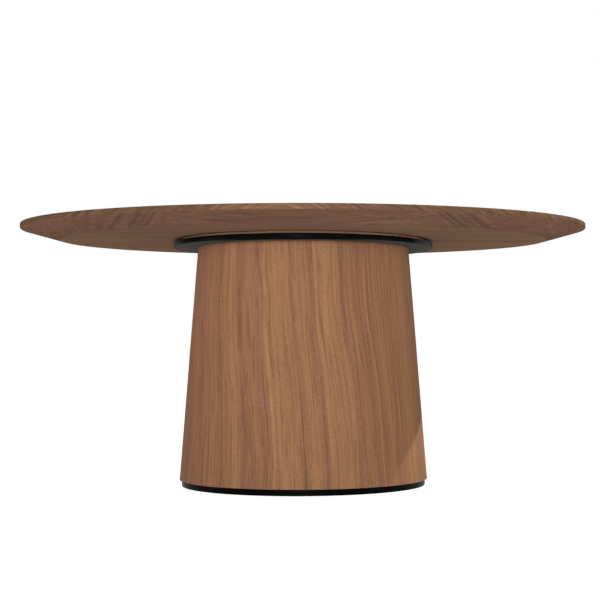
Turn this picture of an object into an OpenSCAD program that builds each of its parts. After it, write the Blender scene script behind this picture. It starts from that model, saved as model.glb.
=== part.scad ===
// Oval pedestal coffee table.
// A bevelled walnut top on a black steel plate, over a conical walnut
// pedestal that stands on a black steel foot plate.
// Origin on the floor under the middle of the top, X along the top, Z up.

/* [Top] */
// Length of the oval top
top_len = 900; // [800:10:1200]
// Depth of the oval top
top_depth = 680; // [560:10:900]
// Thickness of the top at its middle
top_t = 25; // [20:1:40]
// Height of the upright rim
rim_h = 8; // [6:0.5:12]
// Width of the underbevel at the two ends of the top
bevel_w = 62; // [30:1:100]
// Width of the solid lipping round the top
lipping_w = 9; // [6:1:20]
// Radius that eases the two arrises of the rim
arris_r = 2; // [0.5:0.5:2.5]
// Thickness of every sheet of veneer
veneer_t = 0.6; // [0.5:0.1:1.5]

/* [Mounting plate] */
// How far the steel plate under the top stands out past the pedestal
plate_overhang = 38.5; // [34:0.5:45]
// Thickness of the steel plate
plate_t = 8; // [6:1:12]
// Bevel that eases the edges of the plate
plate_ease = 0.8; // [0.4:0.1:1.5]
// Inset of the isolating pad from the edge of the plate
pad_inset = 12; // [8:1:16]
// Thickness of the isolating pad
pad_t = 4; // [2:0.5:6]
// Distance from the pedestal's top edge out to the outer plate screws
screw_out = 9.5; // [8:0.5:14]
// Distance from the pedestal's top edge in to the inner plate screws
screw_in = 58.5; // [40:0.5:75]
// Plate screws on each ring
ring_screws = 3; // [3:1:4]

/* [Pedestal] */
// Height of the wooden pedestal
pedestal_h = 368.5; // [300:0.5:450]
// Outside diameter at the top of the pedestal
pedestal_top_d = 337; // [320:1:340]
// Outside diameter at the foot of the pedestal
pedestal_foot_d = 396; // [380:1:460]
// Thickness of the bent plywood shell
shell_t = 9; // [6:1:12]
// Thickness of the glue between the shell and its veneer
glue_t = 0.1; // [0.05:0.05:0.3]
// Width of the joint where the shell closes at the back
seam_gap = 0.5; // [0.2:0.1:1]
// Thickness of the plywood formers
former_t = 24; // [20:1:30]
// Number of battens round the shell, the seam batten among them
batten_count = 6; // [3:1:8]
// Width of a plain batten
batten_w = 40; // [25:1:60]
// Width of the batten that backs the seam
seam_batten_w = 64; // [50:1:90]
// Thickness of the battens
batten_t = 18; // [12:1:24]

/* [Foot] */
// Inset of the foot plate from the foot of the pedestal
foot_inset = 3.5; // [1:0.5:8]
// Thickness of the foot plate
foot_t = 10; // [8:1:14]
// Radius that eases the lower edge of the foot plate
foot_ease = 1.5; // [0.5:0.5:3]
// Distance from the pedestal's foot in to the foot screws
foot_screw_in = 48; // [30:1:75]
// Number of foot screws
foot_screw_count = 6; // [3:1:8]
// Diameter of a glide
glide_d = 30; // [20:1:36]
// Thickness of a glide
glide_t = 3; // [2:0.5:5]
// How far a glide stands below the foot plate
glide_proud = 0.5; // [0.3:0.1:1.5]
// Distance from the pedestal's foot in to the middle of a glide
glide_in = 33; // [26:1:60]
// Number of glides
glide_count = 6; // [3:1:8]

/* [Tie and caps] */
// Diameter of the tie rod
rod_d = 12; // [10:1:16]
// Diameter of the boss that the rod screws into
boss_d = 36; // [28:1:50]
// Height of the boss
boss_h = 20; // [14:1:20]
// Diameter of the tie washer
washer_d = 50; // [36:1:54]
// Thickness of the tie washer
washer_t = 4; // [2:0.5:5]
// Nut size across the flats
nut_af = 19; // [17:1:24]
// Height of the nut
nut_h = 10; // [8:1:13]
// Length of rod left below the nut
rod_tail = 3; // [1:0.5:4]
// Diameter of the access hole in the foot plate
access_d = 64; // [62:1:80]
// Width of the ledge that the access cap seats on
cap_ledge = 5; // [3:0.5:8]
// Thickness of the access cap
cap_t = 3; // [2:0.5:4]
// Depth of the skirt on the access cap
skirt_h = 3; // [2:0.5:3.5]
// Wall of the skirt on the access cap
skirt_w = 2; // [1.5:0.5:3]

/* [Fasteners] */
// Shank diameter of a plate screw
plate_screw_d = 6; // [5:0.5:8]
// Head diameter of a plate screw
plate_head_d = 11; // [9.5:0.5:14]
// Length of a plate screw, head included
plate_screw_l = 22; // [20:1:24]
// Diameter of a threaded insert
insert_d = 10; // [9:0.5:12]
// Length of a threaded insert
insert_l = 12; // [8:1:14]
// Hexagon socket of a plate screw across the flats
socket_af = 4; // [3:0.5:5]
// Diameter of a locating pin
pin_d = 10; // [6:1:14]
// Length of a locating pin
pin_l = 20; // [14:1:24]
// Depth that a locating pin is let into the plate
pin_let = 4; // [2:1:5]
// Distance from the side of the boss to the middle of a locating pin
pin_out = 52; // [25:1:60]
// Shank diameter of a foot screw
foot_screw_d = 5; // [4:0.5:6]
// Head diameter of a foot screw
foot_head_d = 10; // [8:0.5:12]
// Length of a foot screw, head included
foot_screw_l = 28; // [22:1:30]

/* [Clearances] */
// Radial clearance of a screw or rod in its hole
hole_clear = 0.3; // [0.1:0.1:0.8]
// Radial clearance of glides, boss, pins and cap in their seats
seat_clear = 0.2; // [0.1:0.1:0.5]

/* [Hidden] */
$fn = 120;
cut = 1;
arc_steps = 6;
face_on = 90;

walnut = [0.60, 0.43, 0.32];
walnut_dark = [0.45, 0.33, 0.26];
fibreboard = [0.68, 0.55, 0.40];
plywood = [0.80, 0.68, 0.50];
black_steel = [0.07, 0.07, 0.07];
black_plastic = [0.11, 0.11, 0.11];
bright_steel = [0.66, 0.67, 0.69];
brass = [0.76, 0.62, 0.32];
cork = [0.20, 0.17, 0.14];

// Levels, from the floor up
foot_z = glide_proud;
pedestal_z = foot_z + foot_t;
plate_z = pedestal_z + pedestal_h;
pad_z = plate_z + plate_t;
top_z = pad_z + pad_t;
former_z = plate_z - former_t;
floor_former_z = pedestal_z + former_t;

// The top is drawn as a revolved section and drawn in to its depth
top_r = top_len / 2;
top_ratio = top_depth / top_len;
rim_z = top_t - rim_h;
bevel_tan = rim_z / bevel_w;
bevel_deg = atan(bevel_tan);
flat_r = top_r - bevel_w;
lip_r = top_r - lipping_w;

// Slope of the pedestal
foot_r = pedestal_foot_d / 2;
neck_r = pedestal_top_d / 2;
slope = (foot_r - neck_r) / pedestal_h;
skin_t = veneer_t + glue_t;
wall_t = skin_t + shell_t;

// Plates, and the rings of screws, pins and glides
plate_r = neck_r + plate_overhang;
foot_plate_r = foot_r - foot_inset;
outer_ring_r = neck_r + screw_out;
inner_ring_r = neck_r - screw_in;
pin_ring_r = boss_d / 2 + pin_out;
foot_ring_r = foot_r - foot_screw_in;
glide_ring_r = foot_r - glide_in;

// The nut and washer sit in a recess of the lower former
recess_r = access_d / 2;
recess_h = nut_h + washer_t;

// Height of the underbevel above the flat underside at a distance from the middle
function bevel_at(r) = (r - flat_r) * bevel_tan;

// Outside radius of the pedestal at a height above the floor, less an inset
function cone_r(z, inset) = foot_r - slope * (z - pedestal_z) - inset;

// Points on an arc about a centre
function arc(c, r, from, to) =
    [for (i = [0:arc_steps]) c + r * [cos(from + (to - from) * i / arc_steps),
                                      sin(from + (to - from) * i / arc_steps)]];

// A section turned about the axis
module turned(points) {
    rotate_extrude() polygon(points);
}

// A section of the top, turned a quarter at a time and drawn in to the top's depth
module oval_turned(points) {
    translate([0, 0, top_z]) for (i = [0:3]) scale([1, top_ratio, 1]) rotate(90 * i)
        rotate_extrude(angle = 90) polygon(points);
}

// A flat sheet of the top, out to a distance from the middle, between two levels
module oval_sheet(r, z0, z1) {
    oval_turned([[0, z0], [r, z0], [r, z1], [0, z1]]);
}

// Copies on a ring, the first at an angle from X
module ring(count, r, start) {
    for (i = [0:count - 1]) rotate(start + i * 360 / count) translate([r, 0, 0]) children();
}

// The outer screws start at the front of the table, the inner ones at its back
module plate_screw_places() {
    ring(ring_screws, outer_ring_r, -face_on) children();
    ring(ring_screws, inner_ring_r, face_on) children();
}

module foot_screw_places() {
    ring(foot_screw_count, foot_ring_r, 180 / foot_screw_count) children();
}

module glide_places() {
    ring(glide_count, glide_ring_r, 0) children();
}

module pin_places() {
    ring(2, pin_ring_r, 0) children();
}

// Countersunk head over a shank, with its face at the bottom
module countersunk(head_d, shank_d, length) {
    cylinder(d1 = head_d, d2 = shank_d, h = (head_d - shank_d) / 2);
    cylinder(d = shank_d, h = length);
}

// Hole for a countersunk screw, its cone the same as the head
module countersink(head_d, shank_d, length) {
    translate([0, 0, -cut]) cylinder(d = shank_d + 2 * hole_clear, h = length + 2 * cut);
    cylinder(d1 = head_d, d2 = shank_d, h = (head_d - shank_d) / 2);
}

// Solid with the pedestal's slope between two levels, inset from its outside
module cone(z0, z1, inset) {
    translate([0, 0, z0]) cylinder(r1 = cone_r(z0, inset), r2 = cone_r(z1, inset), h = z1 - z0);
}

// Wall with the pedestal's slope between two levels
module cone_wall(z0, z1, inset, wall) {
    difference() {
        cone(z0, z1, inset);
        cone(z0 - cut, z1 + cut, inset + wall);
    }
}

// Batten seated on the inside of the shell, at an angle from X
module batten(angle, width) {
    intersection() {
        cone_wall(floor_former_z, former_z, wall_t, batten_t);
        rotate(angle) translate([0, -width / 2, floor_former_z])
            cube([foot_r, width, former_z - floor_former_z]);
    }
}

// Solid walnut ring that carries the rim and the outer part of the bevel
module edge_lipping() {
    low = [top_r - arris_r, rim_z - arris_r * bevel_tan + arris_r / cos(bevel_deg)];
    high = [top_r - arris_r, top_t - arris_r];
    color(walnut) oval_turned(concat([[lip_r, bevel_at(lip_r)]],
                                     arc(low, arris_r, bevel_deg - 90, 0),
                                     arc(high, arris_r, 0, 90),
                                     [[lip_r, top_t]]));
}

// Face veneer, let in between the lipping
module top_veneer() {
    color(walnut) oval_sheet(lip_r, top_t - veneer_t, top_t);
}

// Fibreboard panel with its underside bevelled, drilled for the inserts
module tabletop_core() {
    color(fibreboard) difference() {
        oval_turned([[0, veneer_t], [flat_r, veneer_t], [lip_r, bevel_at(lip_r) + veneer_t],
                     [lip_r, top_t - veneer_t], [0, top_t - veneer_t]]);
        plate_screw_places() translate([0, 0, top_z]) cylinder(d = insert_d, h = veneer_t + insert_l);
    }
}

// Veneer on the sloping underside
module bevel_veneer() {
    color(walnut) oval_turned([[flat_r, 0], [lip_r, bevel_at(lip_r)],
                               [lip_r, bevel_at(lip_r) + veneer_t], [flat_r, veneer_t]]);
}

// Veneer on the flat underside, open at the inserts
module underside_veneer() {
    color(walnut_dark) difference() {
        oval_sheet(flat_r, 0, veneer_t);
        plate_screw_places() translate([0, 0, top_z - cut]) cylinder(d = insert_d, h = veneer_t + 2 * cut);
    }
}

// Inserts in the core that take the plate screws
module threaded_inserts() {
    color(brass) plate_screw_places() translate([0, 0, top_z + veneer_t]) difference() {
        cylinder(d = insert_d, h = insert_l);
        translate([0, 0, -cut]) cylinder(d = plate_screw_d, h = insert_l + 2 * cut);
    }
}

// Thin pad between the plate and the veneer
module isolating_pad() {
    color(cork) difference() {
        translate([0, 0, pad_z]) cylinder(r = plate_r - pad_inset, h = pad_t);
        plate_screw_places() translate([0, 0, pad_z - cut])
            cylinder(d = plate_screw_d + 2 * hole_clear, h = pad_t + 2 * cut);
    }
}

// Steel disc under the top, wider than the pedestal, countersunk from below
module mounting_plate() {
    eased_r = plate_r - plate_ease;
    color(black_steel) difference() {
        translate([0, 0, plate_z]) turned([[0, 0], [eased_r, 0], [plate_r, plate_ease],
                                           [plate_r, plate_t - plate_ease], [eased_r, plate_t],
                                           [0, plate_t]]);
        plate_screw_places() translate([0, 0, plate_z])
            countersink(plate_head_d, plate_screw_d, plate_t);
        pin_places() translate([0, 0, plate_z - cut]) cylinder(d = pin_d, h = pin_let + cut);
    }
}

// Countersunk screws with hexagon sockets that hold the top to the plate
module plate_screws() {
    socket_h = (plate_head_d - plate_screw_d) / 2;
    color(black_steel) plate_screw_places() translate([0, 0, plate_z]) difference() {
        countersunk(plate_head_d, plate_screw_d, plate_screw_l);
        translate([0, 0, -cut]) cylinder(d = socket_af / cos(30), h = socket_h + cut, $fn = 6);
    }
}

// Threaded boss welded under the middle of the plate
module plate_boss() {
    color(black_steel) translate([0, 0, plate_z - boss_h]) difference() {
        cylinder(d = boss_d, h = boss_h);
        translate([0, 0, -cut]) cylinder(d = rod_d, h = boss_h + 2 * cut);
    }
}

// Pins that keep the plate from turning on the pedestal
module locating_pins() {
    color(bright_steel) pin_places() translate([0, 0, plate_z + pin_let - pin_l]) cylinder(d = pin_d, h = pin_l);
}

// Upper plywood disc, seated inside the shell
module top_former() {
    color(plywood) difference() {
        cone(former_z, plate_z, wall_t);
        translate([0, 0, former_z - cut]) cylinder(d = boss_d + 2 * seat_clear, h = former_t + 2 * cut);
        pin_places() translate([0, 0, former_z - cut])
            cylinder(d = pin_d + 2 * seat_clear, h = former_t + 2 * cut);
    }
}

// Bent plywood shell, closed by a butt joint at the back
module pedestal_core() {
    color(plywood) difference() {
        cone_wall(pedestal_z, plate_z, skin_t, shell_t);
        translate([-seam_gap / 2, 0, pedestal_z - cut]) cube([seam_gap, foot_r, pedestal_h + 2 * cut]);
    }
}

// Walnut veneer wrapped round the shell
module pedestal_veneer() {
    color(walnut) cone_wall(pedestal_z, plate_z, 0, veneer_t);
}

// Batten glued across the joint of the shell
module seam_batten() {
    color(plywood) batten(face_on, seam_batten_w);
}

// Battens that stiffen the rest of the shell
module rib_battens() {
    color(plywood) for (i = [1:batten_count - 1]) batten(face_on + i * 360 / batten_count, batten_w);
}

// Lower plywood disc, recessed for the washer and nut and drilled for the foot screws
module bottom_former() {
    color(plywood) difference() {
        cone(pedestal_z, floor_former_z, wall_t);
        translate([0, 0, pedestal_z - cut]) cylinder(r = recess_r, h = recess_h + cut);
        translate([0, 0, pedestal_z - cut]) cylinder(d = rod_d + 2 * hole_clear, h = former_t + 2 * cut);
        foot_screw_places() translate([0, 0, pedestal_z - cut])
            cylinder(d = foot_screw_d, h = foot_screw_l - foot_t + cut);
    }
}

// Rod that draws the plate down on the pedestal
module tie_rod() {
    low = pedestal_z - rod_tail;
    color(bright_steel) translate([0, 0, low]) cylinder(d = rod_d, h = plate_z - low);
}

module tie_washer() {
    color(bright_steel) translate([0, 0, pedestal_z + nut_h]) difference() {
        cylinder(d = washer_d, h = washer_t);
        translate([0, 0, -cut]) cylinder(d = rod_d + 2 * hole_clear, h = washer_t + 2 * cut);
    }
}

module tie_nut() {
    color(bright_steel) translate([0, 0, pedestal_z]) difference() {
        cylinder(d = nut_af / cos(30), h = nut_h, $fn = 6);
        translate([0, 0, -cut]) cylinder(d = rod_d, h = nut_h + 2 * cut);
    }
}

// Heavy steel disc that the pedestal stands on
module foot_plate() {
    eased_r = foot_plate_r - foot_ease;
    color(black_steel) difference() {
        translate([0, 0, foot_z]) turned(concat([[0, 0]],
                                                arc([eased_r, foot_ease], foot_ease, -90, 0),
                                                [[foot_plate_r, foot_t], [0, foot_t]]));
        translate([0, 0, foot_z - cut]) cylinder(d = access_d, h = foot_t + 2 * cut);
        translate([0, 0, foot_z - cut]) cylinder(d = access_d + 2 * cap_ledge, h = cap_t + cut);
        foot_screw_places() translate([0, 0, foot_z]) countersink(foot_head_d, foot_screw_d, foot_t);
        glide_places() translate([0, 0, foot_z - cut])
            cylinder(d = glide_d + 2 * seat_clear, h = glide_t - glide_proud + cut);
    }
}

// Wood screws from the foot plate into the lower former
module foot_screws() {
    color(bright_steel) foot_screw_places() translate([0, 0, foot_z])
        countersunk(foot_head_d, foot_screw_d, foot_screw_l);
}

// Cap that closes the access hole, on a ledge, with a skirt that grips the hole
module access_cap() {
    skirt_d = access_d - 2 * seat_clear;
    color(black_plastic) translate([0, 0, foot_z]) difference() {
        union() {
            cylinder(d = access_d + 2 * cap_ledge - 2 * seat_clear, h = cap_t);
            cylinder(d = skirt_d, h = cap_t + skirt_h);
        }
        translate([0, 0, cap_t]) cylinder(d = skirt_d - 2 * skirt_w, h = skirt_h + cut);
    }
}

// Glides let into the foot plate, a little proud of it
module glides() {
    color(black_plastic) glide_places() cylinder(d = glide_d, h = glide_t);
}

edge_lipping();
top_veneer();
tabletop_core();
bevel_veneer();
underside_veneer();
threaded_inserts();
isolating_pad();
mounting_plate();
plate_screws();
plate_boss();
locating_pins();
top_former();
pedestal_core();
pedestal_veneer();
seam_batten();
rib_battens();
bottom_former();
tie_rod();
tie_washer();
tie_nut();
foot_plate();
foot_screws();
access_cap();
glides();
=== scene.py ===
# Oval pedestal coffee table: the looks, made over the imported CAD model.
# Everything is in metres in the CAD frame: X along the top, Z up, the front
# of the table towards -Y. Sizes below are in millimetres until mm() turns them.
import math

import bmesh
import bpy
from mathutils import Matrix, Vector


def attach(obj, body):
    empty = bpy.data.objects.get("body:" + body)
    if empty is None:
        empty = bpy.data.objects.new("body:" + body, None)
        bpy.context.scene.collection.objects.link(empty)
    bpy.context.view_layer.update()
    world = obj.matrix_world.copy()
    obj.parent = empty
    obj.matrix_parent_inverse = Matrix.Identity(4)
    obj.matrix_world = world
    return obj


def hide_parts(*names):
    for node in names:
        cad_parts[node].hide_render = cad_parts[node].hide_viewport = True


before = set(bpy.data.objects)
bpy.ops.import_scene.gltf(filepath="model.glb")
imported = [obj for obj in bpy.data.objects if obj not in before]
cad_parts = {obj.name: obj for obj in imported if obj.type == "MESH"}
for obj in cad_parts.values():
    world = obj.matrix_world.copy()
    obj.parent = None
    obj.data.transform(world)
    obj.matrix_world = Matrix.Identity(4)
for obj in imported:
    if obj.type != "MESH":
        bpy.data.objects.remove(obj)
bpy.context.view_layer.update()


def mm(size):
    """Millimetres as metres."""
    return size / 1000


# The oval top
TOP_R = mm(450)
TOP_RATIO = 680 / 900
TOP_UNDER = mm(391)
TOP_T = mm(25)
RIM_H = mm(8)
BEVEL_W = mm(62)
LIPPING_W = mm(9)
ARRIS_R = mm(2)
VENEER_T = mm(0.6)
RIM_Z = TOP_T - RIM_H
BEVEL_TAN = RIM_Z / BEVEL_W
FLAT_R = TOP_R - BEVEL_W
LIP_R = TOP_R - LIPPING_W
OVAL_SIDES = 288

# The steel plate under the top, and its screws
PLATE_R = mm(207)
PLATE_Z = mm(379)
PLATE_T = mm(8)
PLATE_EASE = mm(0.8)
OUTER_RING_R = mm(178)
INNER_RING_R = mm(110)
RING_SCREWS = 3
SCREW_D = mm(6)
SCREW_HEAD_D = mm(11)
SCREW_L = mm(22)
SOCKET_AF = mm(4)
SCREW_SET = mm(0.3)
INSERT_D = mm(10)
PIN_D = mm(10)
PIN_LET = mm(4)
PIN_RING_R = mm(70)
PINS = 2

# The pedestal
FOOT_R = mm(198)
NECK_R = mm(168.5)
PEDESTAL_Z = mm(10.5)
PEDESTAL_H = mm(368.5)
ARRIS_EASE = mm(0.45)
PEDESTAL_SIDES = 256

# The steel foot plate, its screws, cap and glides
FOOT_PLATE_R = mm(194.5)
FOOT_T = mm(10)
FOOT_Z = mm(0.5)
FOOT_EASE = mm(1.5)
ACCESS_R = mm(32)
CAP_SEAT_R = mm(37)
CAP_R = mm(36.8)
CAP_T = mm(3)
CAP_EASE = mm(0.6)
SKIRT_R = mm(31.8)
SKIRT_H = mm(3)
SKIRT_W = mm(2)
GLIDE_R = mm(15)
GLIDE_T = mm(3)
GLIDE_EASE = mm(1)
GLIDE_SEAT_R = mm(15.2)
GLIDE_RING_R = mm(165)
GLIDE_COUNT = 6
FOOT_SCREW_RING_R = mm(150)
FOOT_SCREWS = 6
FOOT_SCREW_D = mm(5)
FOOT_HEAD_D = mm(10)
FOOT_SCREW_L = mm(28)
CROSS_L = mm(5)
CROSS_W = mm(1)
CROSS_DEPTH = mm(2)
CROSS_TAPER = 0.5

# Slack round a shank, how far a drill overshoots, and how near counts as the same place
HOLE_CLEAR = mm(0.3)
CUT = mm(1)
HAIR = mm(0.01)
MERGE = mm(0.001)
ROUND_SIDES = 48
CAP_SIDES = 96
SMOOTH_DEG = 35


# Modelling by hand: what is done to the piece that is being worked on

def start(primitive, **sizes):
    """Adds a primitive at its size and place, and opens it with all of it selected."""
    bpy.ops.object.select_all(action="DESELECT")
    primitive(**sizes)
    bpy.ops.object.transform_apply(location=True, rotation=True, scale=True)
    bpy.ops.object.mode_set(mode="EDIT")
    bpy.ops.mesh.select_all(action="SELECT")


def pick(kind, test):
    """Selects only the vertices, edges or faces whose middle passes the test."""
    bpy.ops.mesh.select_mode(type=kind)
    bpy.ops.mesh.select_all(action="DESELECT")
    mesh = bmesh.from_edit_mesh(bpy.context.object.data)
    if kind == "VERT":
        chosen = [v for v in mesh.verts if test(v.co)]
    elif kind == "EDGE":
        chosen = [e for e in mesh.edges if test((e.verts[0].co + e.verts[1].co) / 2)]
    else:
        chosen = [f for f in mesh.faces if test(f.calc_center_median())]
    for element in chosen:
        element.select_set(True)
    mesh.select_flush_mode()
    bmesh.update_edit_mesh(bpy.context.object.data)


def pick_loop(radius, z):
    """Selects the ring of edges at a radius and a height."""
    bpy.ops.mesh.select_mode(type="EDGE")
    bpy.ops.mesh.select_all(action="DESELECT")
    mesh = bmesh.from_edit_mesh(bpy.context.object.data)
    for edge in mesh.edges:
        edge.select_set(all(abs(v.co.z - z) < HAIR and abs(v.co.xy.length - radius) < HAIR
                            for v in edge.verts))
    mesh.select_flush_mode()
    bmesh.update_edit_mesh(bpy.context.object.data)


def draw_out(height):
    """Extrudes what is selected straight up, or down if the height is negative."""
    bpy.ops.mesh.extrude_region_move(TRANSFORM_OT_translate={"value": (0, 0, height)})


def draw_in(share, height=0.0):
    """Extrudes what is selected towards the axis, or away from it, and moves it up."""
    draw_out(height)
    bpy.ops.transform.resize(value=(share, share, 1), center_override=(0, 0, 0))


def ease(width, segments):
    """Bevels the selected edges."""
    bpy.ops.mesh.bevel(offset=width, segments=segments, affect="EDGES", offset_type="OFFSET")


def squeeze_to_oval():
    """Draws the whole piece in across the table, which turns its circles to ovals."""
    bpy.ops.mesh.select_all(action="SELECT")
    bpy.ops.transform.resize(value=(1, TOP_RATIO, 1), center_override=(0, 0, 0))


def close():
    """Merges doubles, turns every face outwards and leaves edit mode."""
    bpy.ops.mesh.select_all(action="SELECT")
    bpy.ops.mesh.remove_doubles(threshold=MERGE)
    bpy.ops.mesh.normals_make_consistent(inside=False)
    bpy.ops.object.mode_set(mode="OBJECT")
    return bpy.context.object


def ring_places(count, radius, first):
    """Points on a ring about the axis, the first at an angle from X."""
    angles = [math.radians(first + i * 360 / count) for i in range(count)]
    return [(radius * math.cos(a), radius * math.sin(a)) for a in angles]


def copies(piece, places):
    """One object of copies of a piece that stands on the axis, each with its own mesh."""
    made = []
    for x, y in places:
        copy = piece.copy()
        copy.data = piece.data.copy()
        bpy.context.scene.collection.objects.link(copy)
        copy.location = (x, y, 0)
        made.append(copy)
    bpy.data.objects.remove(piece)
    bpy.ops.object.select_all(action="DESELECT")
    for copy in made:
        copy.select_set(True)
    bpy.context.view_layer.objects.active = made[0]
    bpy.ops.object.join()
    bpy.ops.object.transform_apply(location=True, rotation=True, scale=True)
    return bpy.context.object


def cut_out(piece, *cutters):
    """Cuts the cutters' shapes out of a piece and throws the cutters away."""
    bpy.ops.object.select_all(action="DESELECT")
    bpy.context.view_layer.objects.active = piece
    for cutter in cutters:
        modifier = piece.modifiers.new("cut", "BOOLEAN")
        modifier.operation = "DIFFERENCE"
        modifier.solver = "EXACT"
        modifier.object = cutter
        bpy.ops.object.modifier_apply(modifier=modifier.name)
        bpy.data.objects.remove(cutter)
    return piece


def finished(piece, name, material, slot, *nodes):
    """Names a piece, smooths its curved faces and puts it in the place of its CAD nodes."""
    piece.name = piece.data.name = name
    bpy.ops.object.select_all(action="DESELECT")
    piece.select_set(True)
    bpy.context.view_layer.objects.active = piece
    bpy.ops.object.shade_smooth_by_angle(angle=math.radians(SMOOTH_DEG))
    piece.data.materials.clear()
    piece.data.materials.append(material)
    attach(piece, "root")
    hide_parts(*nodes)
    return piece


# Materials

def paint(hex_code):
    """An sRGB colour such as 8A5F45 as linear light."""
    parts = [int(hex_code[i:i + 2], 16) / 255 for i in (0, 2, 4)]
    return [c / 12.92 if c <= 0.04045 else ((c + 0.055) / 1.055) ** 2.4 for c in parts] + [1]


def add(material, kind, inputs=None, stops=None, **settings):
    """Adds a node with its settings; an input is a value or the output that feeds it."""
    made = material.node_tree.nodes.new("ShaderNode" + kind)
    for name, value in settings.items():
        setattr(made, name, value)
    for name, value in (inputs or {}).items():
        if isinstance(value, bpy.types.NodeSocket):
            material.node_tree.links.new(value, made.inputs[name])
        else:
            made.inputs[name].default_value = value
    if stops:
        elements = made.color_ramp.elements
        while len(elements) < len(stops):
            elements.new(1)
        for element, (position, colour) in zip(elements, sorted(stops)):
            element.position, element.color = position, colour
    return made.outputs


def blank(name, **surface):
    """A material with only its shader, whose constants sit on its own sockets."""
    material = bpy.data.materials.new(name)
    material.use_nodes = True
    shader = material.node_tree.nodes["Principled BSDF"]
    for socket, value in surface.items():
        shader.inputs[socket.replace("_", " ")].default_value = value
    return material


def feed(material, **sockets):
    """Links outputs to the material's shader."""
    shader = material.node_tree.nodes["Principled BSDF"]
    for socket, output in sockets.items():
        material.node_tree.links.new(output, shader.inputs[socket.replace("_", " ")])


# Walnut tones, from the dark veins to the bright lines
VEIN = paint("5E4436")
REDDISH = paint("75513F")
PLAIN = paint("79563F")
TAN = paint("815D43")
LINE = paint("966A48")
RIM_TONES = (paint("664B3A"), paint("6E513E"), paint("7E5D48"))
UNDER_TONES = (paint("735645"), paint("7A5D4A"), paint("80634F"))
# The bevel's walnut is darker than the underside's: painted shade, taking off the front lamp's
# light on the bevel
BEVEL_TONES_WITH_PAINTED_SHADE = (paint("5E4538"), paint("674C3D"), paint("705444"))
TOP_TONES = (paint("60442F"), paint("6F4F39"), paint("7C5A41"))
# EVEN, laid over a wood, changes nothing. The other two, laid over the pedestal, are
# painted shade towards its foot and painted light towards its neck
EVEN, FOOT_PAINTED_SHADE, NECK_PAINTED_LIGHT = paint("BCBCBC"), paint("B4B4B4"), paint("C3C3C3")
BLACK, WHITE, RED, GREEN = paint("000000"), paint("FFFFFF"), paint("FF0000"), paint("00FF00")
PORE_DEPTH = mm(0.1)


def on_object(material):
    """Where a point is on the table, in metres."""
    return add(material, "TexCoord")["Object"]


def noise(material, place, stretch, detail=2.0, **settings):
    """Cloudy noise between 0 and 1, with so many lumps to the metre along each axis."""
    spread = add(material, "VectorMath", {0: place, 1: stretch}, operation="MULTIPLY")[0]
    return add(material, "TexNoise", {"Vector": spread, "Scale": 1.0, "Detail": detail,
                                      **settings})[0]


def walnut_surface(material, colour, grain, into=30):
    """Lays growth lines, fibres and pores over a walnut colour, and sinks the pores.

    grain is a place in metres: across the grain, along it, and into the wood. The lines
    change into so many others to the metre of depth."""
    # Growth lines 5 to 10 mm apart that run for half a metre
    growth = noise(material, grain, (90, 1.3, into), 2.0, Roughness=0.6)
    lines = add(material, "ValToRGB", {0: growth}, stops=[
        (0.30, paint("DEE2E0")), (0.38, WHITE), (0.43, paint("DEE2E0")), (0.47, WHITE),
        (0.53, WHITE), (0.57, paint("E1E4E2")), (0.61, WHITE), (0.68, paint("E8E9E8"))])[0]
    # Fibres are finer than 1 mm, so they are drawn 2 mm wide and 150 mm long
    fibres = noise(material, grain, (400, 5, 120), 1.2, Roughness=0.5)
    # Pores are 0.2 mm wide, too fine to show, so they are drawn 2 mm wide and 4 mm long
    pores = noise(material, grain, (500, 250, 200), 1.0)
    streaked = add(material, "ValToRGB", {0: fibres}, stops=[
        (0.36, paint("F1F2F1")), (0.60, paint("FBFBFB"))])[0]
    dotted = add(material, "ValToRGB", {0: pores}, stops=[
        (0.34, paint("EFEDEB")), (0.46, WHITE)])[0]
    for shade in (lines, streaked, dotted):
        colour = add(material, "Mix", {0: 1.0, 6: colour, 7: shade},
                     data_type="RGBA", blend_type="MULTIPLY")[2]
    rough = add(material, "MapRange", {"Value": fibres, "From Min": 0.3, "From Max": 0.7,
                                       "To Min": 0.66, "To Max": 0.54})[0]
    dents = add(material, "Bump", {"Strength": 0.3, "Distance": PORE_DEPTH,
                                   "Height": pores})[0]
    feed(material, Base_Color=colour, Roughness=rough, Normal=dents)


# Sliced walnut veneer, wrapped round the pedestal with its grain upright and matt lacquered:
# broad tan and reddish bands with a few thin bright lines, each with a dark one at its right,
# straight above and leaning right towards the foot. Two leaves, in front and behind, are
# mirrored at their two joints. Places are in degrees from the front, to the right.
LEAF_DEG = 90
LEAN_DEG = 8.0
LEAN_STOPS = (38, 62)
LEAN_LEAST = 0.2
WANDER_DEG = 1.2
BANDS = ((-90, PLAIN), (-80, PLAIN), (-71, REDDISH), (-63, PLAIN), (-57, REDDISH),
         (-51, PLAIN), (-45, PLAIN), (-43, REDDISH), (-40, PLAIN), (-33, TAN), (-30, REDDISH),
         (-24, PLAIN), (-18, REDDISH), (-15, TAN), (-5.5, TAN), (-2.5, PLAIN), (1.5, TAN),
         (6.5, PLAIN), (8.5, REDDISH), (11.5, TAN), (20.5, TAN), (23.5, REDDISH),
         (29, PLAIN), (35, REDDISH), (39, PLAIN), (47, PLAIN), (50, REDDISH), (57, PLAIN),
         (63, TAN), (71, PLAIN), (90, PLAIN))
# A line's place and strength
BRIGHT_LINES = ((-35.3, 0.2), (-15.5, 0.55), (10.1, 0.8), (28, 0.3), (36.3, 0.5), (53, 0.5))
DARK_LINES = ((-42, 0.35), (-29.8, 0.2), (-2, 0.5), (23.4, 0.4))
LINE_DEG = 0.9
EDGE_AT = 1.9 * LINE_DEG
EDGE_DARK = 0.55


def leaf_stops(marks):
    """Ramp stops over a leaf for tones that are placed in degrees."""
    return [((deg + LEAF_DEG) / (2 * LEAF_DEG), tone) for deg, tone in marks]


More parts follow.
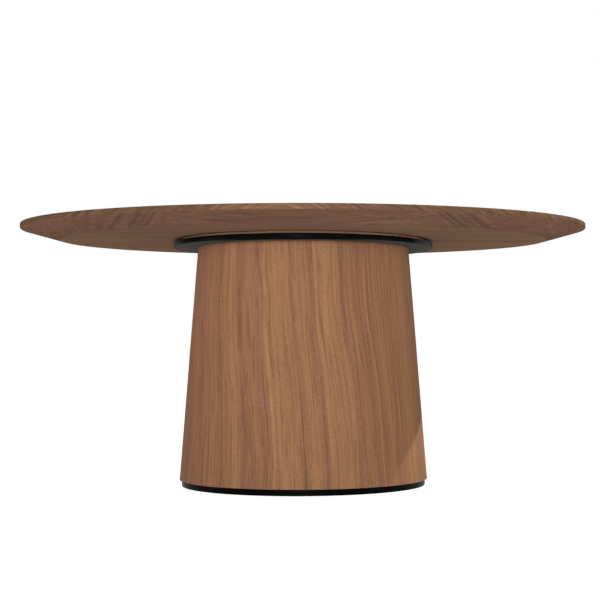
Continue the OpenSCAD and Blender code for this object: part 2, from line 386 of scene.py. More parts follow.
def upright_walnut():
    """Veneer on the pedestal."""
    material = blank("walnut_veneer_upright", Specular_IOR_Level=0.004)
    x, y, z = add(material, "SeparateXYZ", {0: on_object(material)})
    turn = add(material, "Math", {
        0: x, 1: add(material, "Math", {0: y}, operation="ABSOLUTE")[0]},
        operation="ARCTAN2")[0]
    lean = add(material, "MapRange", {
        "Value": z, "From Min": PEDESTAL_Z + PEDESTAL_H, "From Max": PEDESTAL_Z,
        "To Min": 0.0, "To Max": math.radians(LEAN_DEG)}, interpolation_type="SMOOTHSTEP")[0]
    # Towards the right-hand joint the lines stay upright
    leaning = add(material, "MapRange", {
        "Value": turn, "From Min": math.radians(LEAN_STOPS[0]),
        "From Max": math.radians(LEAN_STOPS[1]), "To Min": 1.0, "To Max": LEAN_LEAST},
        interpolation_type="SMOOTHSTEP")[0]
    leant = add(material, "Math", {0: lean, 1: leaning}, operation="MULTIPLY")[0]
    # The lines wander by about half a degree, to and fro in 110 mm of height
    wander = noise(material, add(material, "CombineXYZ", {"X": turn, "Z": z})[0],
                   (3, 1, 9), 0.0)
    wandered = add(material, "Math", {
        0: wander, 1: math.radians(2 * WANDER_DEG), 2: math.radians(-WANDER_DEG)},
        operation="MULTIPLY_ADD")[0]
    vein = add(material, "Math", {
        0: add(material, "Math", {0: turn, 1: leant}, operation="SUBTRACT")[0],
        1: wandered}, operation="ADD")[0]
    place = add(material, "MapRange", {"Value": vein, "From Min": math.radians(-LEAF_DEG),
                                       "From Max": math.radians(LEAF_DEG)})[0]
    bands = add(material, "ValToRGB", {0: place}, stops=leaf_stops(BANDS))[0]
    # One ramp holds the bright lines in its red and the dark ones in its green
    lines = ([(deg, strength, RED) for deg, strength in BRIGHT_LINES]
             + [(deg, strength, GREEN) for deg, strength in DARK_LINES])
    marks = []
    for deg, strength, colour in lines:
        peak = [channel * strength for channel in colour[:3]] + [1]
        marks += [(deg - LINE_DEG, BLACK), (deg, peak), (deg + LINE_DEG, BLACK)]
    bright, dark = add(material, "SeparateColor", {
        0: add(material, "ValToRGB", {0: place}, stops=leaf_stops(marks))[0]})[0:2]
    lit = add(material, "Mix", {0: bright, 6: bands, 7: LINE}, data_type="RGBA")[2]
    veined = add(material, "Mix", {0: dark, 6: lit, 7: VEIN}, data_type="RGBA")[2]
    # Each bright line has a dark edge on its right
    shifted = add(material, "Math", {
        0: place, 1: -EDGE_AT / (2 * LEAF_DEG)}, operation="ADD")[0]
    edge = add(material, "Math", {
        0: add(material, "SeparateColor", {
            0: add(material, "ValToRGB", {0: shifted}, stops=leaf_stops(marks))[0]})[0],
        1: EDGE_DARK}, operation="MULTIPLY")[0]
    edged = add(material, "Mix", {0: edge, 6: veined, 7: VEIN}, data_type="RGBA")[2]
    grain = add(material, "CombineXYZ", {
        "X": add(material, "Math", {0: vein, 1: NECK_R}, operation="MULTIPLY")[0],
        "Y": z, "Z": y})[0]
    # Painted shade darkens the veneer a little towards its foot, and painted light lifts it
    # towards its neck under the top
    height = add(material, "MapRange", {"Value": z, "From Min": PEDESTAL_Z,
                                        "From Max": PEDESTAL_Z + PEDESTAL_H})[0]
    shade = add(material, "ValToRGB", {0: height}, stops=[
        (0, FOOT_PAINTED_SHADE), (0.5, EVEN), (1, NECK_PAINTED_LIGHT)])[0]
    with_painted_shading = add(material, "Mix", {0: 1.0, 6: edged, 7: shade}, data_type="RGBA",
                 blend_type="OVERLAY")[2]
    walnut_surface(material, with_painted_shading, grain)
    return material


def flat_walnut(name, tones, gloss):
    """Sliced walnut veneer on a flat face, matt lacquered: soft bands along the table."""
    material = blank(name, Specular_IOR_Level=gloss)
    x, y, z = add(material, "SeparateXYZ", {0: on_object(material)})
    grain = add(material, "CombineXYZ", {"X": y, "Y": x, "Z": z})[0]
    # Growth bands about 25 mm wide and 700 mm long
    figure = noise(material, grain, (40, 1.4, 30), 3.0, Distortion=0.4)
    colour = add(material, "ValToRGB", {0: figure}, stops=[
        (0.32, tones[0]), (0.45, tones[1]), (0.55, tones[1]), (0.68, tones[2])])[0]
    walnut_surface(material, colour, grain)
    return material


# The bevel's figure. Its crossing streaks are placed where each would meet the long axis,
# in millimetres from the middle, and laid over the wood. Its tips are paler: painted light
# where the front lamp reaches the bevel less, taking back its painted shade there.
BEVEL_RINGS = 130
STREAK_SLANT = 0.45
CURL_AT = mm(240)
CURL_FROM = mm(110)
CURL_TO = mm(230)
CURL_SHARE = 0.6
STREAK_FADE = RIM_Z / 5
PALE, DIM, TIP_PAINTED_LIGHT = paint("CACACA"), paint("A2A2A2"), paint("C8C8C8")
CROSSINGS = ((-450, TIP_PAINTED_LIGHT), (-395, EVEN), (-374, EVEN), (-368, PALE), (-363, DIM),
             (-356, PALE), (-350, EVEN), (-344, EVEN), (-338, DIM), (-333.5, PALE),
             (-328.5, DIM), (-324, PALE), (-319.5, DIM), (-315, PALE), (-309, EVEN),
             (336, EVEN), (342, PALE), (348, DIM), (352, PALE), (355, DIM), (363.5, PALE),
             (368, DIM), (371.5, PALE), (381, DIM), (388, PALE), (394, EVEN),
             (405, EVEN), (450, TIP_PAINTED_LIGHT))


def bevel_colour(material, x, y, z, grain):
    """The colours that run over the whole bevel, veneer and lipping alike."""
    figure = noise(material, grain, (40, 1.4, BEVEL_RINGS), 3.0, Distortion=0.4)
    # Away from the middle the growth lines curl across the bevel, 12 mm apart, along a
    # cube whose slope is 1 at CURL_AT
    length = add(material, "Math", {0: x}, operation="ABSOLUTE")[0]
    depth = add(material, "Math", {
        0: add(material, "Math", {0: y, 1: STREAK_SLANT}, operation="MULTIPLY")[0]},
        operation="ABSOLUTE")[0]
    curl = add(material, "Math", {0: length, 1: 3.0}, operation="POWER")[0]
    curled = add(material, "Math", {0: curl, 1: 1 / (3 * CURL_AT ** 2), 2: depth},
                 operation="MULTIPLY_ADD")[0]
    rings = noise(material, add(material, "CombineXYZ", {"X": curled, "Y": y})[0],
                  (80, 6, 1), 1.5, Distortion=0.3)
    outer = add(material, "MapRange", {
        "Value": length, "From Min": CURL_FROM, "From Max": CURL_TO, "To Max": CURL_SHARE},
        interpolation_type="SMOOTHSTEP")[0]
    figure = add(material, "Mix", {0: outer, 2: figure, 3: rings}, data_type="FLOAT")[0]
    # Walnut tones darkened with painted shade for the front lamp's light on the bevel
    colour = add(material, "ValToRGB", {0: figure}, stops=[
        (0.32, BEVEL_TONES_WITH_PAINTED_SHADE[0]), (0.45, BEVEL_TONES_WITH_PAINTED_SHADE[1]), (0.55, BEVEL_TONES_WITH_PAINTED_SHADE[1]),
        (0.68, BEVEL_TONES_WITH_PAINTED_SHADE[2])])[0]
    # A few streaks slant over the bevel and fade at its inner edge
    slanted = add(material, "Math", {
        0: add(material, "Math", {0: length, 1: depth}, operation="ADD")[0],
        1: add(material, "Math", {0: x}, operation="SIGN")[0]}, operation="MULTIPLY")[0]
    place = add(material, "MapRange", {"Value": slanted, "From Min": -TOP_R,
                                       "From Max": TOP_R})[0]
    crossing = add(material, "ValToRGB", {0: place}, stops=[
        (0.5 + mm(at) / (2 * TOP_R), tone) for at, tone in CROSSINGS])[0]
    fade = add(material, "MapRange", {"Value": z, "From Min": TOP_UNDER,
                                      "From Max": TOP_UNDER + STREAK_FADE})[0]
    return add(material, "Mix", {0: fade, 6: colour, 7: crossing},
               data_type="RGBA", blend_type="OVERLAY")[2]


def bevel_walnut():
    """Sliced walnut veneer on the bevel, matt lacquered: darkened with painted shade, paler at
    its tips with painted light, crossed by slanting streaks.
    """
    material = blank("walnut_veneer_bevel", Specular_IOR_Level=0.0)
    x, y, z = add(material, "SeparateXYZ", {0: on_object(material)})
    grain = add(material, "CombineXYZ", {"X": y, "Y": x, "Z": z})[0]
    walnut_surface(material, bevel_colour(material, x, y, z, grain), grain, BEVEL_RINGS)
    return material


# The rim's streaks lean outwards from the middle, and turn over there within RIM_TURN
RIM_SLANT = 0.4
RIM_TURN = mm(120)
RIM_EDGE = mm(0.5)
END_GRAIN = paint("D4D4D4")
END_GRAIN_FROM = mm(15)
END_GRAIN_TO = mm(150)


def rim_walnut():
    """Solid walnut, sanded and oiled: pale slanting streaks, and darker end grain at its ends.

    The sloping part carries on the bevel, so that no joint shows against the veneer. The
    lipping's own ends meet at the back."""
    material = blank("walnut_solid_rim", Specular_IOR_Level=0.0)
    x, y, z = add(material, "SeparateXYZ", {0: on_object(material)})
    front = add(material, "Math", {0: y, 1: -1.0}, operation="MULTIPLY")[0]
    along = add(material, "Math", {
        0: add(material, "Math", {0: x, 1: front}, operation="ARCTAN2")[0], 1: TOP_R},
        operation="MULTIPLY")[0]
    # Both ways from the middle, with a soft turn there
    outward = add(material, "Math", {
        0: along, 1: add(material, "Math", {0: along, 1: -1.0}, operation="MULTIPLY")[0],
        2: RIM_TURN}, operation="SMOOTH_MAX")[0]
    slanted = add(material, "Math", {0: outward, 1: RIM_SLANT, 2: z},
                  operation="MULTIPLY_ADD")[0]
    rim_grain = add(material, "CombineXYZ", {"X": slanted, "Y": along})[0]
    # Streaks 5 mm wide and 60 mm long
    figure = noise(material, rim_grain, (190, 16, 1), 2.5, Distortion=0.3)
    streaked = add(material, "ValToRGB", {0: figure}, stops=[
        (0.35, RIM_TONES[0]), (0.5, RIM_TONES[1]), (0.65, RIM_TONES[2])])[0]
    ends = add(material, "MapRange", {
        "Value": add(material, "Math", {0: x}, operation="ABSOLUTE")[0],
        "From Min": END_GRAIN_FROM, "From Max": END_GRAIN_TO},
        interpolation_type="SMOOTHSTEP")[0]
    upright = add(material, "Mix", {0: ends, 6: streaked, 7: END_GRAIN},
                  data_type="RGBA", blend_type="MULTIPLY")[2]
    bevel_grain = add(material, "CombineXYZ", {"X": y, "Y": x, "Z": z})[0]
    sloping = bevel_colour(material, x, y, z, bevel_grain)
    rim = add(material, "MapRange", {"Value": z, "From Min": TOP_UNDER + RIM_Z - RIM_EDGE,
                                     "From Max": TOP_UNDER + RIM_Z})[0]
    colour = add(material, "Mix", {0: rim, 6: sloping, 7: upright}, data_type="RGBA")[2]
    grain = add(material, "Mix", {0: rim, 4: bevel_grain, 5: rim_grain},
                data_type="VECTOR")[1]
    walnut_surface(material, colour, grain, BEVEL_RINGS)
    return material


pedestal_wood = upright_walnut()
under_wood = flat_walnut("walnut_veneer_underside", UNDER_TONES, gloss=0.0)
bevel_wood = bevel_walnut()
top_wood = flat_walnut("walnut_veneer_top", TOP_TONES, gloss=0.12)
rim_wood = rim_walnut()


def mottled(name, lumps, tones, roughness, depth, **surface):
    """A material whose colour, roughness and height follow one noise."""
    material = blank(name, **surface)
    value = noise(material, on_object(material), lumps, 2.0)
    colour = add(material, "ValToRGB", {0: value}, stops=[
        (0.3, paint(tones[0])), (0.7, paint(tones[1]))])[0]
    rough = add(material, "MapRange", {
        "Value": value, "From Min": 0.3, "From Max": 0.7,
        "To Min": roughness[0], "To Max": roughness[1]})[0]
    height = add(material, "Bump", {"Strength": 0.4, "Distance": depth, "Height": value})[0]
    feed(material, Base_Color=colour, Roughness=rough, Normal=height)
    return material


# Sprayed and baked powder: near black with a fine orange peel, dull in front and grey at
# grazing angles. The lumps are 0.4 mm on the plate, drawn 1.5 mm wide to show at all.
PEEL = (700, 700, 700)
PEEL_DEPTH = mm(0.02)
powder_coat = mottled("powder_coated_steel", PEEL, ("010101", "040404"),
                      (0.3, 0.4), PEEL_DEPTH, Specular_IOR_Level=0.012)

# The black laps under the plate's rim between these radii, and fades out to the sides
# between these distances from the middle. The painted grey reflection of the lower face
# comes up the rim from the first of the next two distances on.
LAP_FROM = mm(185)
LAP_TO = mm(192)
LAP_FADES = (mm(60), mm(160))
PAINTED_REFLECTION_FROM = mm(172)
PAINTED_REFLECTION_TO = mm(202)
PAINTED_REFLECTION_SHARE = 0.8


def coated_plate():
    """The plate's coat: near black on its rim; dull on its lower face, with a painted grey
    reflection there.

    The black laps a little under the rim at the front and the back, and the painted grey
    reflection runs up the rim at both ends."""
    material = blank("powder_coated_steel_painted_reflection_below", Specular_IOR_Level=0.006)
    place = on_object(material)
    peel = noise(material, place, PEEL)
    rim = add(material, "ValToRGB", {0: peel}, stops=[
        (0.3, paint("060606")), (0.7, paint("0A0A0A"))])[0]
    # The lower face's grey is a painted reflection of the pale floor at grazing angles
    below = add(material, "ValToRGB", {0: peel}, stops=[
        (0.3, paint("3C3B37")), (0.7, paint("464440"))])[0]
    x, y, z = add(material, "SeparateXYZ", {0: place})
    side = add(material, "MapRange", {"Value": z, "From Min": PLATE_Z,
                                      "From Max": PLATE_Z + PLATE_EASE / 2})[0]
    length = add(material, "Math", {0: x}, operation="ABSOLUTE")[0]
    # Towards both ends the painted grey reflection covers the rim as well
    ends = add(material, "MapRange", {
        "Value": length, "From Min": PAINTED_REFLECTION_FROM, "From Max": PAINTED_REFLECTION_TO,
        "To Min": 1.0, "To Max": 1 - PAINTED_REFLECTION_SHARE}, interpolation_type="SMOOTHSTEP")[0]
    radius = add(material, "VectorMath", {
        0: add(material, "CombineXYZ", {"X": x, "Y": y})[0]}, operation="LENGTH")["Value"]
    lap = add(material, "MapRange", {"Value": radius, "From Min": LAP_FROM,
                                     "From Max": LAP_TO})[0]
    lapping = add(material, "MapRange", {
        "Value": length, "From Min": LAP_FADES[0], "From Max": LAP_FADES[1],
        "To Min": 1.0, "To Max": 0.0}, interpolation_type="SMOOTHSTEP")[0]
    under = add(material, "Math", {0: lap, 1: lapping}, operation="MULTIPLY")[0]
    black = add(material, "Math", {0: side, 1: under}, operation="MAXIMUM")[0]
    upper = add(material, "Math", {0: black, 1: ends}, operation="MULTIPLY")[0]
    colour = add(material, "Mix", {0: upper, 6: below, 7: rim}, data_type="RGBA")[2]
    sprayed = add(material, "MapRange", {"Value": peel, "To Min": 0.2, "To Max": 0.3})[0]
    dull = add(material, "MapRange", {"Value": peel, "To Min": 0.75, "To Max": 0.85})[0]
    smooth = add(material, "Math", {0: side, 1: ends}, operation="MULTIPLY")[0]
    rough = add(material, "Mix", {0: smooth, 2: dull, 3: sprayed}, data_type="FLOAT")[0]
    height = add(material, "Bump", {"Strength": 0.4, "Distance": PEEL_DEPTH,
                                    "Height": peel})[0]
    feed(material, Base_Color=colour, Roughness=rough, Normal=height)
    return material


plate_coat = coated_plate()
# Chemically blackened screws: a dark sheen against the coat, in blotches of 2.5 mm
black_screw = mottled("blackened_steel", (400, 400, 400), ("141416", "262628"),
                      (0.32, 0.5), mm(0.01), Metallic=1.0)
# Moulded nylon: an even black with a soft, eroded skin, drawn in lumps of 1 mm to show
nylon = mottled("moulded_nylon", (900, 900, 900), ("171717", "1F1F1F"),
                (0.45, 0.6), mm(0.02), Specular_IOR_Level=0.5)
# Zinc plate from a barrel: bright grey, clouded in patches of about 3 mm
zinc = mottled("zinc_plated_steel", (330, 330, 330), ("A9ADB2", "C9CCCF"),
               (0.25, 0.42), mm(0.01), Metallic=1.0)
# Brass turned on a lathe: rings lie across the axis, 0.3 mm apart, drawn 1 mm apart
brass = mottled("turned_brass", (4, 4, 1000), ("A98743", "CBA660"),
                (0.24, 0.4), mm(0.02), Metallic=1.0)
# Pressed wood fibre: a tan felt, flecked 4 mm wide and darker where bark went in
fibreboard = mottled("raw_fibreboard", (260, 260, 500), ("8F6E4B", "B59067"),
                     (0.85, 0.95), mm(0.05))
# Rubber-bound cork, sliced from a block: brown, with grains of about 2 mm
cork_rubber = mottled("cork_rubber_sheet", (450, 450, 450), ("86674F", "987458"),
                      (0.8, 0.95), mm(0.1), Specular_IOR_Level=0.02)


PLY_T = mm(1.4)
GLUE_LINE = paint("8A6A48")


def birch(name, bent):
    """Raw rotary-cut birch plywood: pale wood, a brown glue line between plies 1.4 mm apart.

    In the bent shell and its battens the plies follow the cone; in the discs they lie flat."""
    material = blank(name, Specular_IOR_Level=0.3)
    place = on_object(material)
    x, y, z = add(material, "SeparateXYZ", {0: place})
    radius = add(material, "VectorMath", {
        0: add(material, "CombineXYZ", {"X": x, "Y": y})[0]}, operation="LENGTH")["Value"]
    level = add(material, "Math", {
        0: z, 1: (FOOT_R - NECK_R) / PEDESTAL_H if bent else 1.0, 2: radius if bent else 0.0},
        operation="MULTIPLY_ADD")[0]
    ply = add(material, "Math", {
        0: add(material, "Math", {0: level, 1: PLY_T}, operation="DIVIDE")[0]},
        operation="FRACT")[0]
    glue = add(material, "ValToRGB", {0: ply}, stops=[
        (0.0, GLUE_LINE), (0.12, WHITE), (0.88, WHITE), (1.0, GLUE_LINE)])[0]
    # Fibres show as flecks 4 mm wide and 110 mm long
    fibres = noise(material, place, (240, 240, 9) if bent else (9, 240, 240), 3.0)
    wood = add(material, "ValToRGB", {0: fibres}, stops=[
        (0.32, paint("C4A171")), (0.68, paint("D9BC90"))])[0]
    lined = add(material, "Mix", {0: 1.0, 6: wood, 7: glue},
                data_type="RGBA", blend_type="MULTIPLY")[2]
    rough = add(material, "MapRange", {"Value": fibres, "To Min": 0.6, "To Max": 0.8})[0]
    feed(material, Base_Color=lined, Roughness=rough)
    return material


flat_ply = birch("birch_plywood_flat", bent=False)
bent_ply = birch("birch_plywood_bent", bent=True)


# The pieces

def rim_lipping():
    """Solid ring: rim drawn up from a circle, faces drawn in to the veneers, arrises eased."""
    start(bpy.ops.mesh.primitive_circle_add, vertices=OVAL_SIDES, radius=TOP_R,
          location=(0, 0, TOP_UNDER + RIM_Z))
    draw_out(RIM_H)
    pick_loop(TOP_R, TOP_UNDER + TOP_T)
    draw_in(LIP_R / TOP_R)
    pick_loop(TOP_R, TOP_UNDER + RIM_Z)
    draw_in(LIP_R / TOP_R, -LIPPING_W * BEVEL_TAN)
    pick("EDGE", lambda co: co.xy.length < LIP_R + HAIR)
    bpy.ops.mesh.bridge_edge_loops()
    pick_loop(TOP_R, TOP_UNDER + TOP_T)
    ease(ARRIS_R, 4)
    turn = math.pi / 2 - math.atan(BEVEL_TAN)
    pick_loop(TOP_R, TOP_UNDER + RIM_Z)
    ease(ARRIS_R * math.tan(turn / 2), 4)
    squeeze_to_oval()
    finished(close(), "walnut_lipping", rim_wood, "walnut_lipping", "edge_lipping")


def bevel_face():
    """Veneer on the underbevel: a cone drawn out from the flat's edge to the lipping."""
    start(bpy.ops.mesh.primitive_circle_add, vertices=OVAL_SIDES, radius=FLAT_R,
          location=(0, 0, TOP_UNDER))
    draw_in(LIP_R / FLAT_R, (LIP_R - FLAT_R) * BEVEL_TAN)
    bpy.ops.mesh.select_all(action="SELECT")
    draw_out(VENEER_T)
    squeeze_to_oval()
    finished(close(), "walnut_bevel", bevel_wood, "walnut_underside", "bevel_veneer")


def underside_face():
    """Flat veneer of the underside, open at the six inserts."""
    start(bpy.ops.mesh.primitive_cylinder_add, vertices=OVAL_SIDES, radius=FLAT_R, depth=VENEER_T,
          location=(0, 0, TOP_UNDER + VENEER_T / 2))
    squeeze_to_oval()
    piece = close()
    drill = post(INSERT_D / 2, TOP_UNDER - CUT, TOP_UNDER + VENEER_T + CUT)
    cut_out(piece, copies(drill, PLATE_SCREW_PLACES))
    finished(piece, "walnut_underside", under_wood, "walnut_underside", "underside_veneer")


def top_face():
    """Veneer of the upper face, let in between the lipping."""
    start(bpy.ops.mesh.primitive_cylinder_add, vertices=OVAL_SIDES, radius=LIP_R, depth=VENEER_T,
          location=(0, 0, TOP_UNDER + TOP_T - VENEER_T / 2))
    squeeze_to_oval()
    finished(close(), "walnut_top", top_wood, "walnut_top", "top_veneer")


def pedestal_skin():
    """Veneer of the pedestal: up the outside from a circle, over the edge and down the inside."""
    start(bpy.ops.mesh.primitive_circle_add, vertices=PEDESTAL_SIDES, radius=FOOT_R,
          location=(0, 0, PEDESTAL_Z))
    draw_in(NECK_R / FOOT_R, PEDESTAL_H)
    draw_in((NECK_R - VENEER_T) / NECK_R)
    draw_in((FOOT_R - VENEER_T) / (NECK_R - VENEER_T), -PEDESTAL_H)
    pick("EDGE", lambda co: abs(co.z - PEDESTAL_Z) < HAIR)
    bpy.ops.mesh.bridge_edge_loops()
    for radius, z in ((FOOT_R, PEDESTAL_Z), (NECK_R, PEDESTAL_Z + PEDESTAL_H)):
        pick_loop(radius, z)
        ease(ARRIS_EASE, 2)
    finished(close(), "walnut_pedestal", pedestal_wood, "walnut_pedestal", "pedestal_veneer")


def post(radius, z0, z1, sides=ROUND_SIDES):
    """A plain post on the axis between two levels, as a drill or a blank."""
    start(bpy.ops.mesh.primitive_cylinder_add, vertices=sides, radius=radius, depth=z1 - z0,
          location=(0, 0, (z0 + z1) / 2))
    return close()


def countersink(head_d, shank_d, z, depth, slack=0.0):
    """A countersinking drill that enters a plate from below at a level."""
    head_h = (head_d - shank_d) / 2
    start(bpy.ops.mesh.primitive_cone_add, vertices=ROUND_SIDES, radius1=head_d / 2 + slack,
          radius2=shank_d / 2 + HOLE_CLEAR, depth=head_h + slack,
          location=(0, 0, z + (head_h + slack) / 2))
    pick("FACE", lambda co: abs(co.z - z - head_h - slack) < HAIR)
    draw_out(depth + CUT)
    pick("FACE", lambda co: abs(co.z - z) < HAIR)
    draw_out(-CUT)
    return close()


def screw(head_d, shank_d, length, z):
    """A countersunk screw on the axis, its head down and a little below the plate's face."""
    head_h = (head_d - shank_d) / 2
    start(bpy.ops.mesh.primitive_cone_add, vertices=ROUND_SIDES, radius1=head_d / 2,
          radius2=shank_d / 2, depth=head_h, location=(0, 0, z + head_h / 2))
    pick("FACE", lambda co: abs(co.z - z - head_h) < HAIR)
    draw_out(length - head_h)
    pick_loop(shank_d / 2, z + length)
    ease(shank_d / 10, 1)
    pick_loop(head_d / 2, z)
    ease(SCREW_SET, 2)
    return close()


def mounting_plate():
    """Steel disc with eased edges, countersunk from below, with blind holes for its pins."""
    start(bpy.ops.mesh.primitive_cylinder_add, vertices=PEDESTAL_SIDES, radius=PLATE_R,
          depth=PLATE_T, location=(0, 0, PLATE_Z + PLATE_T / 2))
    for z in (PLATE_Z, PLATE_Z + PLATE_T):
        pick_loop(PLATE_R, z)
        ease(PLATE_EASE, 2)
    piece = close()
    sink = countersink(SCREW_HEAD_D, SCREW_D, PLATE_Z, PLATE_T, SCREW_SET)
    pin_hole = post(PIN_D / 2, PLATE_Z - CUT, PLATE_Z + PIN_LET)
    cut_out(piece, copies(sink, PLATE_SCREW_PLACES), copies(pin_hole, PIN_PLACES))
    finished(piece, "steel_plate", plate_coat, "black_steel", "mounting_plate")


def plate_screws():
    """Socket screws: one turned blank with a hexagon sunk in its head, then its copies."""
    z = PLATE_Z + SCREW_SET
    piece = screw(SCREW_HEAD_D, SCREW_D, SCREW_L - SCREW_SET, z)
    depth = (SCREW_HEAD_D - SCREW_D) / 2
    cut_out(piece, post(SOCKET_AF / 2 / math.cos(math.pi / 6), z - CUT, z + depth, sides=6))
    piece = copies(piece, PLATE_SCREW_PLACES)
    finished(piece, "socket_screws", black_screw, "black_screw", "plate_screws")


def foot_plate():
    """Heavy disc with a rounded lower edge, cut for the cap, the screws and the glides."""
    top = FOOT_Z + FOOT_T
    start(bpy.ops.mesh.primitive_cylinder_add, vertices=PEDESTAL_SIDES, radius=FOOT_PLATE_R,
          depth=FOOT_T, location=(0, 0, FOOT_Z + FOOT_T / 2))
    pick_loop(FOOT_PLATE_R, FOOT_Z)
    ease(FOOT_EASE, 4)
    piece = close()
    sink = countersink(FOOT_HEAD_D, FOOT_SCREW_D, FOOT_Z, FOOT_T, SCREW_SET)
    cut_out(piece,
            post(ACCESS_R, FOOT_Z - CUT, top + CUT, sides=CAP_SIDES),
            post(CAP_SEAT_R, FOOT_Z - CUT, FOOT_Z + CAP_T, sides=CAP_SIDES),
            copies(sink, FOOT_SCREW_PLACES),
            copies(post(GLIDE_SEAT_R, FOOT_Z - CUT, GLIDE_T), GLIDE_PLACES))
    finished(piece, "steel_foot", powder_coat, "black_steel", "foot_plate")


def foot_screws():
    """Wood screws with a cross recess, sunk by two crossed tapering blades."""
    z = FOOT_Z + SCREW_SET
    piece = screw(FOOT_HEAD_D, FOOT_SCREW_D, FOOT_SCREW_L - SCREW_SET, z)
    for length, width in ((CROSS_L, CROSS_W), (CROSS_W, CROSS_L)):
        start(bpy.ops.mesh.primitive_cube_add, size=1, location=(0, 0, z))
        bpy.ops.transform.resize(value=(length, width, 2 * CROSS_DEPTH),
                                 center_override=(0, 0, z))
        pick("FACE", lambda co: co.z > z + CROSS_DEPTH / 2)
        bpy.ops.transform.resize(value=(CROSS_TAPER, CROSS_TAPER, 1), center_override=(0, 0, z))
        cut_out(piece, close())
    piece = copies(piece, FOOT_SCREW_PLACES)
    finished(piece, "wood_screws", zinc, "bright_steel", "foot_screws")


def access_cap():
    """Moulded cap: a disc, then its skirt inset and drawn up, and hollowed."""
    start(bpy.ops.mesh.primitive_cylinder_add, vertices=CAP_SIDES, radius=CAP_R, depth=CAP_T,
          location=(0, 0, FOOT_Z + CAP_T / 2))
    pick("FACE", lambda co: abs(co.z - FOOT_Z - CAP_T) < HAIR)
    bpy.ops.mesh.inset(thickness=CAP_R - SKIRT_R)
    draw_out(SKIRT_H)
    bpy.ops.mesh.inset(thickness=SKIRT_W)
    draw_out(-SKIRT_H)
    pick_loop(CAP_R, FOOT_Z)
    ease(CAP_EASE, 3)
    finished(close(), "nylon_cap", nylon, "black_plastic", "access_cap")


def glides():
    """Glides with a rounded tread, let into the foot plate."""
    start(bpy.ops.mesh.primitive_cylinder_add, vertices=ROUND_SIDES, radius=GLIDE_R,
          depth=GLIDE_T, location=(0, 0, GLIDE_T / 2))
    pick_loop(GLIDE_R, 0)
    ease(GLIDE_EASE, 3)
    piece = copies(close(), GLIDE_PLACES)
    finished(piece, "nylon_glides", nylon, "black_plastic", "glides")


PLATE_SCREW_PLACES = (ring_places(RING_SCREWS, OUTER_RING_R, -90)
                      + ring_places(RING_SCREWS, INNER_RING_R, 90))
PIN_PLACES = ring_places(PINS, PIN_RING_R, 0)
FOOT_SCREW_PLACES = ring_places(FOOT_SCREWS, FOOT_SCREW_RING_R, 180 / FOOT_SCREWS)
GLIDE_PLACES = ring_places(GLIDE_COUNT, GLIDE_RING_R, 0)

rim_lipping()
bevel_face()
underside_face()
top_face()
pedestal_skin()
mounting_plate()
plate_screws()
foot_plate()
foot_screws()
access_cap()
glides()

# The pieces inside keep their CAD shapes
for name, material in {"tabletop_core": fibreboard, "threaded_inserts": brass,
                       "isolating_pad": cork_rubber, "plate_boss": powder_coat,
                       "locating_pins": zinc, "top_former": flat_ply,
                       "pedestal_core": bent_ply, "seam_batten": bent_ply,
                       "rib_battens": bent_ply, "bottom_former": flat_ply,
                       "tie_rod": zinc, "tie_washer": zinc, "tie_nut": zinc}.items():
    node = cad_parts[name]
    node.data.materials.clear()
    node.data.materials.append(material)

# Floor and light. The floor glows a little, so that it stays as pale as the studio
# behind it, and it lights the underside of the top from below. The walls are white and the
# ceiling is dim, from 17 degrees above the horizon on.
FLOOR_SIZE = 200
FLOOR_GLOW = 0.98
SKY = 1.0
CEILING = 0.1
CEILING_FROM = 0.27
CEILING_TO = 0.42
# Rolled matt paint on board: a pale ground with faint clouds 300 mm across
floor_paint = mottled("matt_white_board", (3, 3, 3), ("303030", "363636"), (0.88, 0.92), 0,
                      Emission_Color=WHITE, Emission_Strength=FLOOR_GLOW)
bpy.ops.object.select_all(action="DESELECT")
bpy.ops.mesh.primitive_plane_add(size=FLOOR_SIZE)
floor = bpy.context.object
floor.name = "floor"
floor.data.materials.append(floor_paint)

world = bpy.data.worlds.new("studio")
world.use_nodes = True
height = add(world, "SeparateXYZ", {0: add(world, "TexCoord")["Generated"]})["Z"]
sky = add(world, "MapRange", {"Value": height, "From Min": CEILING_FROM,
                              "From Max": CEILING_TO, "To Min": SKY, "To Max": CEILING},
          interpolation_type="SMOOTHSTEP")[0]
world.node_tree.nodes["Background"].inputs["Color"].default_value = WHITE
world.node_tree.links.new(sky, world.node_tree.nodes["Background"].inputs["Strength"])
bpy.context.scene.world = world
bpy.context.scene.view_settings.view_transform = "Standard"

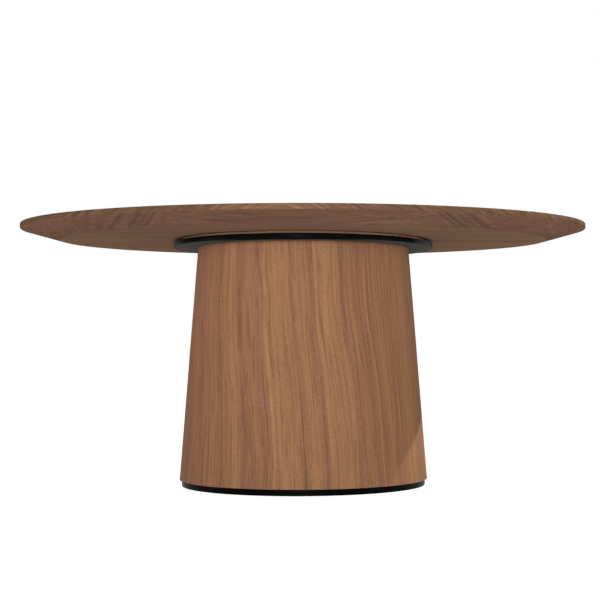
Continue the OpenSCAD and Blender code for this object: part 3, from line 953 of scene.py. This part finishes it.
LAMP_AIM = 0.25
LAMP_FAR = 6
SOFTBOX = {"shape": "SQUARE", "size": 1.6}


def lamp(kind, name, azimuth, elevation, energy, **settings):
    """A lamp that shines on the table from an azimuth, 0 in front and 90 at the right."""
    data = bpy.data.lights.new(name, kind)
    data.energy = energy
    for setting, value in settings.items():
        setattr(data, setting, value)
    made = bpy.data.objects.new(name, data)
    turn, rise = math.radians(azimuth), math.radians(elevation)
    away = Vector((math.sin(turn) * math.cos(rise), -math.cos(turn) * math.cos(rise),
                   math.sin(rise)))
    made.location = Vector((0, 0, LAMP_AIM)) + away * LAMP_FAR
    made.rotation_mode = "QUATERNION"
    made.rotation_quaternion = (-away).to_track_quat("-Z", "Y")
    bpy.context.scene.collection.objects.link(made)


lamp("AREA", "front_softbox", azimuth=1, elevation=1, energy=480, **SOFTBOX)
lamp("AREA", "left_softbox", azimuth=-78, elevation=2, energy=132, **SOFTBOX)
lamp("AREA", "right_softbox", azimuth=78, elevation=2, energy=105, **SOFTBOX)
lamp("SUN", "back_light", azimuth=120, elevation=48, energy=6.6, angle=math.radians(1))

# Camera: level, 207 mm above the floor and 2.2 m in front, with the frame shifted up and
# left, and rolled by 0.06 degrees as in the photograph
FRAME_PX = 600
SENSOR = 36
FOCAL_PX = 1383.5
MIDDLE_PX = (383.0, 355.6)
CAMERA_AT = (0.1986, -2.2218, 0.2073)
CAMERA_ROLL = 0.0011
CAMERA_TURN = 0.0320
camera_data = bpy.data.cameras.new("camera")
camera_data.sensor_width = SENSOR
camera_data.lens = FOCAL_PX / FRAME_PX * SENSOR
camera_data.shift_x = (FRAME_PX / 2 - MIDDLE_PX[0]) / FRAME_PX
camera_data.shift_y = (MIDDLE_PX[1] - FRAME_PX / 2) / FRAME_PX
camera = bpy.data.objects.new("camera", camera_data)
camera.location = CAMERA_AT
camera.rotation_euler = (math.radians(90), CAMERA_ROLL, CAMERA_TURN)
bpy.context.scene.collection.objects.link(camera)
bpy.context.scene.camera = camera
